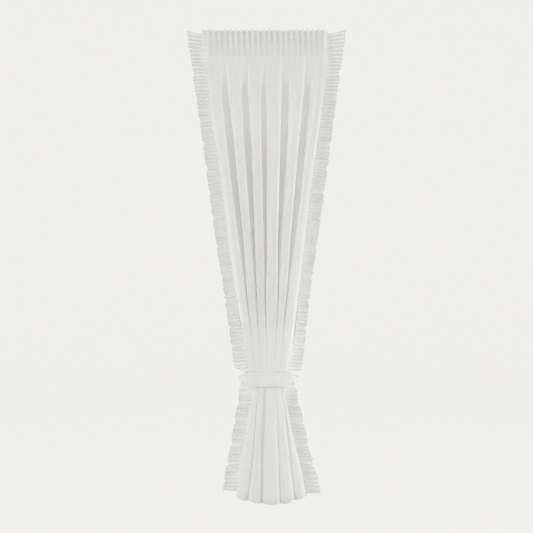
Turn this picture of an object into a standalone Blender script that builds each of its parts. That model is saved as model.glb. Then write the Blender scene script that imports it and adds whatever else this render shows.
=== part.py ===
"""A sheer curtain: a gathered panel, a pleated ruffle down each side edge and a closed tie band.

Metres, +Z up. The origin is the middle of the heading's top edge, the cloth hangs down from it
and -Y is the front.
"""

import math

import bmesh
import bpy

# The cloth
CLOTH_THICKNESS = 0.0012
BAND_THICKNESS = 0.0016
PANEL_FLAT_WIDTH = 1.2
SEAM_GAP = 0.0008

# Heights at which the tables below give the places and sizes of the folds
HIGH, UPPER, LOWER, WAIST, UNDER, MIDDLE, HEM = -0.227, -0.542, -0.992, -1.541, -1.631, -1.850, -2.117
HEIGHTS = (HIGH, UPPER, LOWER, WAIST, UNDER, MIDDLE, HEM)

# The heading: narrow pleats, four columns of cloth to a pleat
PLEATS = 23
COLUMNS_PER_PLEAT = 4
HEADING_LEFT = -0.2925
HEADING_WIDTH = 0.5600
PLEAT_DEPTH = 0.0115
PLEAT_UNEVENNESS = ((0.14, 9.0), (0.10, 31.0))
GATHERS_HOLD_TO = -0.075
GATHERS_GONE_BY = -0.185
FOLDS_START = -0.085
FOLDS_FORMED_BY = -0.26

# The six main folds. Each row is the mouth of one valley between two folds: its left and right
# side at the HEIGHTS, and the side that it leans to. The third fold sinks into the valley beside
# it below the band, so that five lobes show there.
MOUTHS = (
    (
        (-0.2138, -0.1823, -0.1256, -0.0630, -0.0410, -0.0655, -0.0900),
        (-0.1733, -0.1490, -0.1013, -0.0563, -0.0360, -0.0600, -0.0830),
        -1,
    ),
    (
        (-0.1238, -0.1040, -0.0716, -0.0338, -0.0180, -0.0215, -0.0270),
        (-0.0788, -0.0698, -0.0536, -0.0270, -0.0130, -0.0170, -0.0235),
        -1,
    ),
    (
        (-0.0338, -0.0270, -0.0185, -0.0059, -0.0020, -0.0090, -0.0165),
        (0.0009, 0.0009, 0.0009, 0.0009, 0.0030, -0.0050, -0.0120),
        -1,
    ),
    (
        (0.0581, 0.0545, 0.0450, 0.0315, 0.0280, 0.0410, 0.0535),
        (0.1103, 0.0905, 0.0608, 0.0383, 0.0335, 0.0470, 0.0615),
        1,
    ),
    (
        (0.1598, 0.1341, 0.0995, 0.0630, 0.0580, 0.0900, 0.1145),
        (0.2093, 0.1755, 0.1193, 0.0698, 0.0632, 0.0960, 0.1225),
        1,
    ),
)
LEFT_EDGE = (-0.2723, -0.2318, -0.1733, -0.0878, -0.0660, -0.1013, -0.1410)
RIGHT_EDGE = (0.2633, 0.2228, 0.1688, 0.0950, 0.0765, 0.1200, 0.1800)
FRONT = (-0.030, -0.033, -0.034, -0.036, -0.035, -0.032, -0.030)
CROWN = (0.004, 0.006, 0.010, 0.016, 0.017, 0.026, 0.036)
SUNK_FOLD = 2
SUNK_BY = (0.0, 0.0, 0.0, 0.0, 0.006, 0.014, 0.014)
LEFT_HEM_RISE = 0.014

# The hidden part of each fold, and the columns of cloth in each part
FLOOR_WIDTH = (0.012, 0.012, 0.011, 0.0045, 0.0035, 0.0050, 0.0060)
UNDERCUT = (0.006, 0.006, 0.006, -0.0010, -0.0008, 0.0010, 0.0020)
CORNER_ROUNDING = 0.22
OUTER_FOLDS_SHALLOWER = 0.5
MEAN_SQUARE_PLACE = 0.27
FACE_COLUMNS = 3
WALL_COLUMNS = 6
FLOOR_COLUMNS = 2
EDGE_RETURN = 0.024
EDGE_TUCK = 0.003
RETURN_COLUMNS = 2

PANEL_ROWS = (
    (0.0, -0.022, -0.045, -0.075, -0.105, -0.145, -0.19, -0.26)
    + (-0.38, UPPER, -0.76, LOWER, -1.18, -1.36, -1.48)
    + (WAIST, UNDER, -1.70, MIDDLE, -1.98, -2.09, HEM)
)

# The ruffles. The seam share is how far the zigzag swings over half of the panel's side return.
RUFFLE_PLEATS = 128
RUFFLE_TOP = -0.016
RUFFLE_SEAM_SHARE = 0.32
RUFFLE_FREE_DEPTH = 0.0068
RUFFLE_TOOTH = 0.0018
RUFFLE_TOP_LIFT = 0.011
RUFFLE_LEVEL_BY = -0.12
RUFFLE_USUAL_WIDTH = 0.048
RUFFLE_HEIGHTS = (0.0, -0.09, -0.40, -0.99, -1.30, -1.48, -1.54, -1.60, -1.66, -1.85, -2.10)
LEFT_RUFFLE_WIDTHS = (0.065, 0.051, 0.048, 0.045, 0.040, 0.047, 0.028, 0.028, 0.054, 0.053, 0.055)
RIGHT_RUFFLE_WIDTHS = (0.077, 0.056, 0.053, 0.048, 0.044, 0.054, 0.028, 0.028, 0.050, 0.057, 0.060)
RUFFLE_TURN = (6.0, 6.0, 6.0, 6.0, 8.0, 14.0, 34.0, 34.0, 12.0, 8.0, 6.0)
SCALLOP = 0.105
SCALLOP_STEP = 0.007
SCALLOP_SHIFT = 0.35
LEFT_RUFFLE_BOTTOM = -2.078
RIGHT_RUFFLE_BOTTOM = -2.090

# The tie band, a closed ring that dips in front
BAND_MIDDLE_X = 0.0055
BAND_HALF_WIDTH = 0.1350
BAND_FRONT = -0.0533
BAND_BACK = 0.0700
BAND_SQUARENESS = 2.2
BAND_TOP = -1.540
BAND_HEIGHT = 0.043
BAND_DIP = 0.016
BAND_BACK_RISE = 0.009
BAND_PINCH = 0.004
BAND_BELLY = 0.0025
BAND_STEPS = 56
BAND_ROWS = 3


def ease(start, end, value):
    """0 at start, 1 at end, with no corner at either."""
    t = min(1.0, max(0.0, (value - start) / (end - start)))
    return t * t * (3.0 - 2.0 * t)


def mix(a, b, t):
    return a + (b - a) * t


def at_height(heights, values, z):
    """A value from a table that runs downwards, in straight steps from one height to the next."""
    if z >= heights[0]:
        return values[0]
    for high, low, above, below in zip(heights, heights[1:], values, values[1:]):
        if z >= low:
            return mix(above, below, (high - z) / (high - low))
    return values[-1]


def spread(knots):
    """Points along straight runs: each knot is (x, y, columns to the next knot)."""
    points = []
    for (x, y, columns), (next_x, next_y, _) in zip(knots, knots[1:]):
        points += [(mix(x, next_x, i / columns), mix(y, next_y, i / columns)) for i in range(columns)]
    return points + [knots[-1][:2]]


def soften(points):
    """Rounds the corners of a section, and leaves its two ends where they are."""
    inner = [
        tuple(b + CORNER_ROUNDING * (a - 2.0 * b + c) for a, b, c in zip(before, here, after))
        for before, here, after in zip(points, points[1:], points[2:])
    ]
    return [points[0]] + inner + [points[-1]]


def folded_section(z):
    """The cloth's path in plan: flat faces in front, and between them valleys deep enough that
    the whole path is as long as the cloth is wide."""
    left, right, front, crown, sunk_by, floor_width, undercut = (
        at_height(HEIGHTS, values, z)
        for values in (LEFT_EDGE, RIGHT_EDGE, FRONT, CROWN, SUNK_BY, FLOOR_WIDTH, UNDERCUT)
    )
    middle, half = (left + right) / 2, (right - left) / 2
    mouths = [(at_height(HEIGHTS, start, z), at_height(HEIGHTS, end, z), lean) for start, end, lean in MOUTHS]

    def front_at(x, fold):
        sunk = sunk_by if fold == SUNK_FOLD else 0.0
        return front - crown * (1.0 - ((x - middle) / half) ** 2) + sunk

    faces = (right - left) - sum(end - start for start, end, _ in mouths)
    spare = PANEL_FLAT_WIDTH - faces - 2 * EDGE_RETURN - len(mouths) * floor_width
    wall = spare / (2 * len(mouths))
    knots = [(left + EDGE_TUCK, front + EDGE_RETURN, RETURN_COLUMNS), (left, front, FACE_COLUMNS)]
    for fold, (start, end, lean) in enumerate(mouths):
        place = ((start + end) / 2 - middle) / half
        depth = wall * (1.0 + OUTER_FOLDS_SHALLOWER * (MEAN_SQUARE_PLACE - place * place))
        floor_y = front - crown * (1.0 - place * place) + depth
        floor_left = start - undercut if lean < 0 else end + undercut - floor_width
        knots += [
            (start, front_at(start, fold), WALL_COLUMNS),
            (floor_left, floor_y, FLOOR_COLUMNS),
            (floor_left + floor_width, floor_y, WALL_COLUMNS),
            (end, front_at(end, fold + 1), FACE_COLUMNS),
        ]
    knots += [(right, front, RETURN_COLUMNS), (right - EDGE_TUCK, front + EDGE_RETURN, 0)]
    return soften(spread(knots))


def heading_point(column, z):
    """A point of the narrow pleats, which are a little uneven and fade out below the gathers."""
    last = PLEATS * COLUMNS_PER_PLEAT
    crests = last - 2 * RETURN_COLUMNS
    along = min(1.0, max(0.0, (column - RETURN_COLUMNS) / crests))
    tucked = max(0, RETURN_COLUMNS - column) - max(0, column - last + RETURN_COLUMNS)
    x = HEADING_LEFT + HEADING_WIDTH * along + EDGE_TUCK * tucked / RETURN_COLUMNS
    uneven = 1.0 + sum(share * math.sin(turns * along) for share, turns in PLEAT_UNEVENNESS)
    fade = 1.0 - ease(GATHERS_HOLD_TO, GATHERS_GONE_BY, z)
    return x, PLEAT_DEPTH * uneven * fade * math.cos(2.0 * math.pi * column / COLUMNS_PER_PLEAT)


def panel_row(z):
    """One row of the panel: gathers at the top, then the main folds down to the hem."""
    formed = ease(FOLDS_START, FOLDS_FORMED_BY, z)
    row = []
    for column, (x, y) in enumerate(folded_section(z)):
        gathered_x, gathered_y = heading_point(column, z)
        rise = LEFT_HEM_RISE * ease(MIDDLE, HEM, z) * ease(0.0, LEFT_EDGE[-1], x)
        row.append((mix(gathered_x, x, formed), mix(gathered_y, y, formed), z + rise))
    return row


def cloth_material(name, colour, roughness):
    material = bpy.data.materials.new(name)
    material.use_nodes = True
    surface = material.node_tree.nodes["Principled BSDF"]
    surface.inputs["Base Color"].default_value = (*colour, 1.0)
    surface.inputs["Roughness"].default_value = roughness
    surface.inputs["Metallic"].default_value = 0.0
    return material


def cloth_object(name, rows, thickness, material, closed=False):
    """A sheet through a grid of points, given its thickness by a Solidify modifier."""
    mesh_tool = bmesh.new()
    grid = [[mesh_tool.verts.new(point) for point in row] for row in rows]
    for upper, lower in zip(grid, grid[1:]):
        steps = len(upper) if closed else len(upper) - 1
        for i in range(steps):
            j = (i + 1) % len(upper)
            mesh_tool.faces.new((upper[i], lower[i], lower[j]))
            mesh_tool.faces.new((upper[i], lower[j], upper[j]))
    mesh_tool.normal_update()
    mesh = bpy.data.meshes.new(name)
    mesh_tool.to_mesh(mesh)
    mesh_tool.free()
    mesh.shade_smooth()
    cloth = bpy.data.objects.new(name, mesh)
    cloth.data.materials.append(material)
    bpy.context.scene.collection.objects.link(cloth)
    solidify = cloth.modifiers.new("Thickness", "SOLIDIFY")
    solidify.thickness = thickness
    solidify.offset = 0.0
    solidify.use_quality_normals = True
    return cloth


def seam_point(panel, side, z, across):
    """A point just off the outer face of the panel's side return, at one height."""
    edge, inner = (0, 1) if side < 0 else (-1, -2)
    for upper, lower in zip(panel, panel[1:]):
        if z >= lower[edge][2]:
            break
    ends = []
    for column in (edge, inner):
        t = (upper[column][2] - z) / (upper[column][2] - lower[column][2])
        ends.append([mix(upper[column][i], lower[column][i], t) for i in range(2)])
    offset = side * (CLOTH_THICKNESS / 2 + SEAM_GAP)
    return mix(ends[0][0], ends[1][0], across) + offset, mix(ends[0][1], ends[1][1], across)


def ruffle_rows(panel, side, widths, bottom):
    """A zigzag strip: its inner edge lies along the panel's return and its free edge stands out,
    stepped like the uneven groups of pleats."""
    rows = []
    steps = 2 * RUFFLE_PLEATS
    for i in range(steps + 1):
        z = mix(RUFFLE_TOP, bottom, i / steps)
        zig = 1 if i % 2 else -1
        across = 0.5 + zig * RUFFLE_SEAM_SHARE
        x, y = seam_point(panel, side, z, across)
        turn = math.radians(at_height(RUFFLE_HEIGHTS, RUFFLE_TURN, z))
        group = (-z / SCALLOP + SCALLOP_SHIFT * side) % 1.0
        width = at_height(RUFFLE_HEIGHTS, widths, z)
        free_depth = RUFFLE_FREE_DEPTH * min(1.0, width / RUFFLE_USUAL_WIDTH)
        width += SCALLOP_STEP * (group - 0.5) + zig * RUFFLE_TOOTH
        lift = RUFFLE_TOP_LIFT * (1.0 - ease(RUFFLE_TOP, RUFFLE_LEVEL_BY, z))
        free = (
            x + side * width * math.cos(turn),
            y + width * math.sin(turn) - zig * free_depth,
            z + lift,
        )
        rows.append([(x, y, z), free])
    return rows


def band_rows():
    """Rows of the closed band, from its top rim to its bottom rim."""
    middle_y = (BAND_FRONT + BAND_BACK) / 2
    half_depth = (BAND_BACK - BAND_FRONT) / 2
    power = 2.0 / BAND_SQUARENESS
    rows = []
    for row in range(BAND_ROWS + 1):
        down = row / BAND_ROWS
        points = []
        for step in range(BAND_STEPS):
            angle = 2.0 * math.pi * step / BAND_STEPS
            sine, cosine = math.sin(angle), math.cos(angle)
            belly = BAND_BELLY * math.sin(math.pi * down)
            x = BAND_MIDDLE_X + (BAND_HALF_WIDTH + belly) * math.copysign(abs(cosine) ** power, cosine)
            y = middle_y - (half_depth + belly) * math.copysign(abs(sine) ** power, sine)
            pinch = BAND_PINCH * abs(cosine) ** 3
            top = BAND_TOP - BAND_DIP * max(0.0, sine) + BAND_BACK_RISE * max(0.0, -sine) - pinch
            height = BAND_HEIGHT - 2 * pinch
            points.append((x, y, top - height * down))
        rows.append(points)
    return rows


def main():
    for old in list(bpy.data.objects):
        bpy.data.objects.remove(old, do_unlink=True)
    sheer = cloth_material("sheer_cloth", (0.86, 0.86, 0.85), 0.8)
    pleated = cloth_material("pleated_sheer", (0.82, 0.82, 0.81), 0.8)
    banded = cloth_material("band_cloth", (0.87, 0.87, 0.86), 0.75)
    panel = [panel_row(z) for z in PANEL_ROWS]
    cloth_object("panel", panel, CLOTH_THICKNESS, sheer)
    left = ruffle_rows(panel, -1, LEFT_RUFFLE_WIDTHS, LEFT_RUFFLE_BOTTOM)
    right = ruffle_rows(panel, 1, RIGHT_RUFFLE_WIDTHS, RIGHT_RUFFLE_BOTTOM)
    cloth_object("ruffle_left", left, CLOTH_THICKNESS, pleated)
    cloth_object("ruffle_right", right, CLOTH_THICKNESS, pleated)
    cloth_object("tie_band", band_rows(), BAND_THICKNESS, banded, closed=True)


main()
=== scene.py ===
"""A sheer curtain panel with a gathered heading, a crimped ruffle down each side and a tie band.

Metres, +Z up. The origin is the middle of the heading's top edge and -Y is the front. The sidebar
tab Curtain holds the sizes and finishes, and one button for each group of pieces.
"""

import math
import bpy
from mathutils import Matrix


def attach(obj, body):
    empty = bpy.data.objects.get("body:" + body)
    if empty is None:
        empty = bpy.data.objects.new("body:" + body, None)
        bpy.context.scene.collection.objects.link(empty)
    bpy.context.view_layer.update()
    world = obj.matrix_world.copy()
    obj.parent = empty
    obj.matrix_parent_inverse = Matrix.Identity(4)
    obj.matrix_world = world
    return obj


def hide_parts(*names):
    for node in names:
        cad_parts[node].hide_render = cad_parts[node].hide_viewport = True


bl_info = {
    "name": "Sheer curtain with ruffles",
    "version": (1, 0, 0),
    "blender": (4, 5, 0),
    "location": "3D View > Sidebar > Curtain",
    "description": "Builds the sheer panel, its ruffles, tie band, hems and stitching",
    "category": "Object",
}

import bpy
import numpy as np
from bpy.props import FloatProperty, FloatVectorProperty, IntProperty, PointerProperty
from bpy.types import Operator, Panel, PropertyGroup
from mathutils import Vector

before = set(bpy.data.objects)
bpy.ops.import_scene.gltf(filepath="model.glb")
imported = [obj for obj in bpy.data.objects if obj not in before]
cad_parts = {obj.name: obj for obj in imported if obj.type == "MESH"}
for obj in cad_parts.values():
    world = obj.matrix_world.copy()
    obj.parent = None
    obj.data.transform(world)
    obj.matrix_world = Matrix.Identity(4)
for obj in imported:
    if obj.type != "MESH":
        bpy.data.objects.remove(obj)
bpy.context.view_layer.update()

# Sizes of the cloth as it was cut
PANEL_FLAT = (1.2, 2.14)
RUFFLE_FLAT = (0.05, 4.0)
BAND_FLAT = (0.65, 0.120)

# The heading: where each of its 23 gathers stands, how deep the gathers are across it, and how far the rows
# of stitching hold them on the way down
CRESTS = tuple(-0.2920 + 0.02492 * i + 0.0009 * math.sin(2.3 * i) for i in range(23))
DEPTH_PLACES = (-0.29, -0.25, -0.20, -0.11, 0.0, 0.15, 0.22, 0.26)
DEPTH_SHARES = (0.55, 0.80, 1.20, 1.25, 1.05, 0.95, 0.80, 0.55)
HOLD_HEIGHTS = (0.0, -0.038, -0.047, -0.078, -0.087, -0.115, -0.126, -0.165)
HOLD_SHARES = (1.0, 1.0, 0.66, 0.60, 0.42, 0.36, 0.18, 0.0)
STITCHED_ROWS = (-0.043, -0.083, -0.12)

# The main folds at each height: the panel's left edge, the two sides of each of its five valleys and its
# right edge, in millimetres from the middle
FOLD_COLUMNS = ("height", "left", "valley 1", "valley 2", "valley 3", "valley 4", "valley 5", "right")
FOLD_ROWS = (
    (-122, -290, (-218, -185), (-124, -84), (-31, -4), (59, 84), (168, 190), 276),
    (-185, -280, (-216, -181), (-124, -84), (-30, -4), (59, 102), (164, 203), 269),
    (-240, -270, (-213, -175), (-122, -82), (-30, -4), (59, 104), (161, 203), 261),
    (-369, -259, (-199, -163), (-114, -78), (-28, -3), (59, 98), (152, 188), 248),
    (-547, -230, (-176, -147), (-101, -71), (-25, -3), (57, 86), (138, 167), 221),
    (-770, -199, (-148, -126), (-83, -63), (-20, -4), (52, 72), (119, 143), 192),
    (-993, -172, (-120, -104), (-67, -55), (-15, -3), (47, 58), (100, 116), 167),
    (-1216, -138, (-92, -90), (-48, -47), (-11, -9), (47, 48), (85, 87), 140),
    (-1380, -113, (-73, -73), (-38, -38), (-6, -6), (39, 39), (71, 71), 120),
    (-1540, -87, (-57, -57), (-31, -31), (-4, -4), (33, 33), (60, 60), 94),
    (-1626, -67, (-41, -41), (-13, -13), (-12, -12), (35, 35), (64, 64), 77),
    (-1707, -83, (-50, -50), (-15, -15), (-13, -13), (42, 42), (77, 77), 92),
    (-1841, -104, (-58, -58), (-22, -22), (-19, -19), (45, 45), (90, 90), 119),
    (-1985, -133, (-73, -73), (-24, -24), (-20, -20), (51, 51), (105, 105), 153),
    (-2109, -139, (-86, -86), (-27, -27), (-22, -22), (56, 56), (119, 119), 174),
)
VALLEY_LEANS = (-1, -1, -1, 1, 1)
HEM = -2.117
LEFT_HEM_RISE = 0.014
RIGHT_HEM_RISE = 0.020

# How the folds change shape on the way down, in millimetres. Front is how far the outer folds stand out and
# crown how much more the middle one does; hollow is the sag of a face, right turn and left turn are how
# far its two edges go back, and lap is how far its left edge tucks behind the fold beside it.
SHAPE_COLUMNS = (
    ("height", "front", "crown", "sunk", "floor", "undercut")
    + ("hollow", "right turn", "left turn", "lap")
)
SHAPE_ROWS = (
    (-122, -20, 2, 0.0, 8, 0.0, 0.0, 2.5, 2.0, 0.0),
    (-227, -30, 4, 0.0, 12, 6.0, 3.0, 6.5, 2.6, 0.0),
    (-542, -33, 6, 0.0, 12, 7.0, 4.5, 9.0, 2.6, 0.0),
    (-992, -34, 10, 0.0, 11, 7.0, 4.0, 8.0, 2.6, 0.0),
    (-1300, -35, 14, 0.0, 8, 3.0, 1.5, 3.0, 0.8, 0.0),
    (-1400, -35, 16, 0.0, 6, 0.0, 0.0, 1.2, 0.2, 0.0),
    (-1560, -36, 16, 0.0, 5, 0.0, -0.5, 0.3, 0.2, 0.0),
    (-1631, -35, 17, 0.3, 4, 0.0, -0.8, 1.2, 0.0, 1.0),
    (-1850, -32, 26, 1.2, 5, 0.0, -2.5, 4.0, 0.2, 3.8),
    (-2117, -30, 36, 2.2, 6, 0.0, -4.0, 5.4, 0.5, 5.5),
)
SUNK_FOLD = 2
OUTER_FOLDS_SHALLOWER = 0.5
MEAN_SQUARE_PLACE = 0.27

# A valley near the heading is an open trough this deep
TROUGH_DEPTH = 0.026

# How wide the turned strip of a face is at its left and at its right edge. The panel's two outer edges
# and the round lobes of the skirt have a depth and a width of their own.
TURN_REACH = (0.007, 0.014)
OUTER_TURN = (0.0085, 0.030)
ROUND_LOBE = (0.0036, 0.034)

# How much of the lap and of the right turn each of the six folds keeps in the skirt
SKIRT_LAPS = (0.0, 0.0, 0.0, 0.0, 1.0, 1.0)
SKIRT_RIGHTS = (0.6, 0.7, 0.0, 1.0, 1.0, 1.0)

# The panel's side returns, and the columns of points that each stretch of the folded section has
EDGE_RETURN = 0.024
EDGE_TUCK = 0.003
FACE_COLUMNS, WALL_COLUMNS, FLOOR_COLUMNS, RETURN_COLUMNS = 48, 18, 6, 10

# The heading's two ends, and the row of points whose length is the cloth's flat width
HEADING_ENDS = (-0.2975, 0.2735)
MEASURED_ROW = 80

# The sag of a face that the hollows in the table are written for
FACE_HOLLOW = 0.0045

# Soft ripples of the panel: height, ripples per metre across, per metre down, and start in turns
PANEL_RIPPLES = (
    (0.0009, 17.0, 0.55, 0.10),
    (0.0007, 29.0, -0.80, 0.45),
    (0.0005, 47.0, 1.30, 0.80),
    (0.0004, 71.0, -1.10, 0.25),
)

# The ruffles' outer edges at each height, in millimetres, and the breaks between groups of pleats
RUFFLE_COLUMNS = ("height", "left", "right")
RUFFLE_ROWS = (
    (-11, -361, 352),
    (-78, -354, 343),
    (-141, -342, 333),
    (-231, -330, 320),
    (-365, -310, 301),
    (-545, -284, 277),
    (-769, -254, 247),
    (-993, -223, 216),
    (-1217, -188, 185),
    (-1397, -164, 167),
    (-1464, -155, 159),
    (-1513, -147, 153),
    (-1526, -138, 150),
    (-1532, -118, 147),
    (-1537, -101, 118),
    (-1543, -97, 104),
    (-1554, -104, 106),
    (-1580, -116, 116),
    (-1594, -119, 121),
    (-1630, -125, 130),
    (-1666, -131, 138),
    (-1710, -138, 148),
    (-1800, -152, 169),
    (-1890, -167, 186),
    (-1935, -176, 200),
    (-2024, -193, 226),
    (-2069, -197, 235),
)
BREAKS = (
    (-0.195, -0.303, -0.410, -0.516, -0.621, -0.728, -0.843, -0.973, -1.105)
    + (-1.213, -1.338, -1.421, -1.675, -1.764, -1.863, -1.952, -2.033)
)
RUFFLE_TOP = -0.016
RUFFLE_BOTTOMS = (-2.078, -2.090)
RUFFLE_SEAM_SHARE = 0.24
FULL_RUFFLE_WIDTH = 0.048
SEWN_PLEAT_DEPTH = 0.0029

# How far each ruffle turns back on the way down, in degrees, at the left and at the right
TURN_HEIGHTS = (0.0, -0.99, -1.30, -1.48, -1.54, -1.60, -1.66, -1.85, -2.10)
TURN_DEGREES = (
    (6.0, 6.0, 8.0, 14.0, 34.0, 34.0, 6.0, 0.0, 0.0),
    (-6.0, 2.0, 6.0, 14.0, 34.0, 30.0, -8.0, -18.0, -12.0),
)
SAMPLES_PER_PLEAT = 12
SAMPLES_ACROSS = 12

# The tie band: a ring that is tall in front, narrows to a point at each side and is low behind
BAND_MIDDLE_X = 0.0055
BAND_HALF_WIDTH = 0.1350
BAND_FRONT = -0.0560
BAND_BACK = 0.0700
BAND_SQUARENESS = 2.3
BAND_MIDDLE_Z = -1.567
BAND_SIDE_Z = -1.572
BAND_BACK_Z = -1.584
BAND_HALF_HEIGHTS = (0.031, 0.0105, 0.015)
BAND_TAPER_START = 0.42
BAND_THICKNESS = 0.0016
BAND_STEPS, BAND_ROWS = 240, 24
BAND_TONE = (0.916, 0.910, 0.892)

# Where the folds close up towards the band, so that less light comes through the layers, and where the cloth
# darkens in steps to a painted shade tone
CLOSING_FROM, CLOSING_TO = -1.08, -1.42
CLOSING_STEPS = 8
# Painted shade of the bunched folds near the band
CLOSED_SHADE_TONE = (0.870, 0.868, 0.855)

# The double cloth of the two side hems, whose tone is partly their own colour and partly a painted highlight
# along the panel's outer edges: how many columns of points they and their soft rims take, and how low each
# reaches
SIDE_HEM_COLUMNS, SIDE_HEM_RIM, SIDE_HEM_STEPS = 26, 12, 4
SIDE_HEM_ENDS = (-1.30, -1.56)
# Partly the hems' own colour, partly a painted highlight, also used for the fold edges
SIDE_HEM_HIGHLIGHT_TONE = (0.952, 0.945, 0.927)

# Painted highlights along the left and the right edge of each fold, made with the side hems' opaque cloth,
# and where they start below the heading
FOLD_HIGHLIGHT_COLUMNS = (4, 10)
FOLD_HIGHLIGHT_TOP = -0.19

# The photograph's view
CAMERA_PLACE = (-0.0045, -3.4, -1.067)
CAMERA_LENS = 51.0
LIGHT_COLOUR = (1.0, 0.985, 0.955)


def ease(start, end, value):
    """0 at start, 1 at end, with no corner at either."""
    t = np.clip((np.asarray(value, float) - start) / (end - start), 0.0, 1.0)
    return t * t * (3.0 - 2.0 * t)


def mix(a, b, t):
    return a + (b - a) * t


def bump_at(value, middle, width):
    """1 in the middle, falling softly to 0 on both sides of it."""
    return np.exp(-(((value - middle) / width) ** 2))


def flowing(heights, values, z):
    """Values at heights z from a table that runs downwards, smoothly and with no overshoot."""
    down = -np.asarray(heights, float)
    value = np.asarray(values, float)
    step = np.diff(down)
    slope = np.diff(value) / step
    tangent = np.zeros(len(value))
    tangent[0], tangent[-1] = slope[0], slope[-1]
    product = slope[:-1] * slope[1:]
    total = np.where(product > 0, slope[:-1] + slope[1:], 1.0)
    tangent[1:-1] = np.where(product > 0, 2.0 * product / total, 0.0)
    at = np.clip(-np.asarray(z, float), down[0], down[-1])
    i = np.clip(np.searchsorted(down, at, side="right") - 1, 0, len(step) - 1)
    t = (at - down[i]) / step[i]
    return (
        (2 * t**3 - 3 * t**2 + 1) * value[i]
        + (t**3 - 2 * t**2 + t) * step[i] * tangent[i]
        + (3 * t**2 - 2 * t**3) * value[i + 1]
        + (t**3 - t**2) * step[i] * tangent[i + 1]
    )


def ripples(across, down, waves):
    """A soft uneven surface: the sum of long waves that drift sideways on the way down."""
    total = 0.0
    for height, per_across, per_down, start in waves:
        turn = across * per_across + down * per_down + start
        total = total + height * np.sin(2.0 * math.pi * turn + 1.7 * np.sin(3.1 * down + 9.0 * start))
    return total


def link(piece):
    bpy.context.scene.collection.objects.link(piece)
    return piece


def grid_object(name, points, material, across=None, down=None, closed=False):
    """A sheet through rows of points, with its UV map in metres of cloth."""
    rows, columns = points.shape[:2]
    steps = columns if closed else columns - 1
    upper = np.arange(rows - 1)[:, None] * columns
    left = np.arange(steps)[None, :]
    right = (left + 1) % columns
    corners = (upper + left, upper + columns + left, upper + columns + right, upper + right)
    faces = np.stack([np.broadcast_to(c, (rows - 1, steps)) for c in corners], axis=-1)
    mesh = bpy.data.meshes.new(name)
    mesh.from_pydata(points.reshape(-1, 3).tolist(), [], faces.reshape(-1, 4).tolist())
    if across is not None:
        wide = np.broadcast_to(across, (rows, columns))
        tall = np.broadcast_to(np.asarray(down)[:, None], (rows, columns))
        if closed:
            step = wide[0, 1] - wide[0, 0]
            wide = np.concatenate([wide, wide[:, -1:] + step], axis=1)
            tall = np.concatenate([tall, tall[:, -1:]], axis=1)
        row = np.arange(rows - 1)[:, None]
        place = [(row, left), (row + 1, left), (row + 1, left + 1), (row, left + 1)]
        uv = np.stack([np.stack([wide[r, c], tall[r, c]], axis=-1) for r, c in place], axis=2)
        layer = mesh.uv_layers.new(name="cloth")
        layer.data.foreach_set("uv", uv.reshape(-1).astype(np.float32))
    mesh.shade_smooth()
    mesh.materials.append(material)
    return link(bpy.data.objects.new(name, mesh))


def grid_normals(points):
    """The side of a sheet that faces the front, at each of its points."""
    downwards = np.gradient(points, axis=0)
    sideways = np.gradient(points, axis=1)
    normal = np.cross(downwards, sideways)
    return normal / np.maximum(np.linalg.norm(normal, axis=2, keepdims=True), 1e-9)


# Shader groups and materials


def new_group(name, inputs, outputs):
    """A shader node group with named value inputs and outputs."""
    group = bpy.data.node_groups.new(name, "ShaderNodeTree")
    for label, default in inputs:
        socket = group.interface.new_socket(name=label, in_out="INPUT", socket_type="NodeSocketFloat")
        socket.default_value = default
    for label in outputs:
        group.interface.new_socket(name=label, in_out="OUTPUT", socket_type="NodeSocketFloat")
    return group, group.nodes.new("NodeGroupInput"), group.nodes.new("NodeGroupOutput")


def maths(tree, operation, first, second=None, third=None):
    node = tree.nodes.new("ShaderNodeMath")
    node.operation = operation
    for i, value in enumerate((first, second, third)):
        if value is None:
            continue
        if isinstance(value, (int, float)):
            node.inputs[i].default_value = value
        else:
            tree.links.new(value, node.inputs[i])
    return node.outputs[0]


def stretched_noise(tree, uv, scale, detail):
    """Noise with its own scale across and down the cloth."""
    mapping = tree.nodes.new("ShaderNodeMapping")
    mapping.inputs["Scale"].default_value = (scale[0], scale[1], 1.0)
    tree.links.new(uv, mapping.inputs["Vector"])
    noise = tree.nodes.new("ShaderNodeTexNoise")
    noise.inputs["Scale"].default_value = 1.0
    noise.inputs["Detail"].default_value = detail
    tree.links.new(mapping.outputs[0], noise.inputs["Vector"])
    return noise.outputs["Fac"]


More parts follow.
